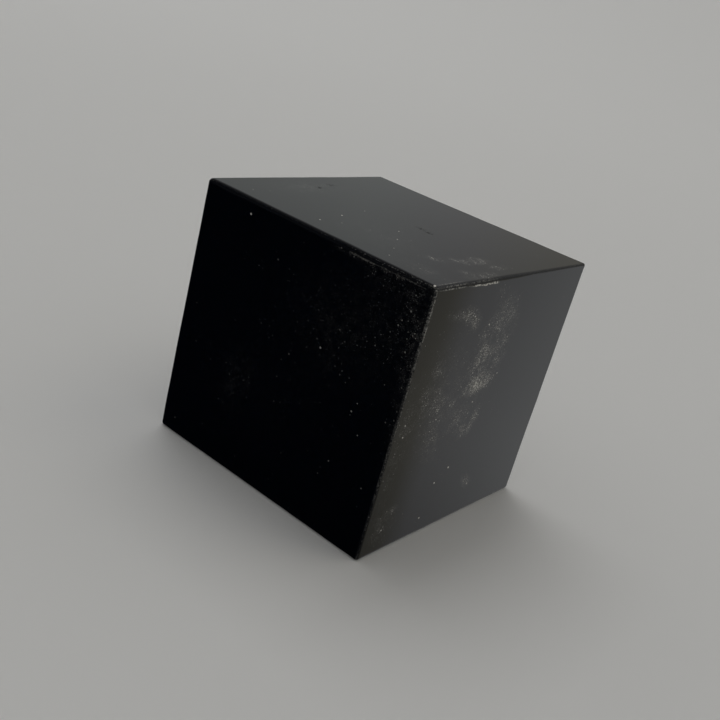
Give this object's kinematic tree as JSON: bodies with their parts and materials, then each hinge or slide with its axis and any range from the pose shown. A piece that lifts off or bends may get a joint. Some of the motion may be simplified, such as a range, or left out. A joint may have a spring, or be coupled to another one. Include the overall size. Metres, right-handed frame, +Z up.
{
  "type": "polished stone cube",
  "caption": "Solid cube of mirror-polished black stone with flat faces and finely eased edges; rests on any face as a paperweight or desk ornament.",
  "frame": {"origin": "middle of the face that the cube rests on", "axes": "+Z up; +X along the longest side, across the grey lit side face; -Y is the darker side face; +Z is the shortest side"},
  "size_m": [0.052, 0.0508, 0.0504],
  "materials": {
    "polished_obsidian": "mirror polished"
  },
  "bodies": {
    "root": {"polished_cube": "polished_obsidian"}
  },
  "joints": []
}
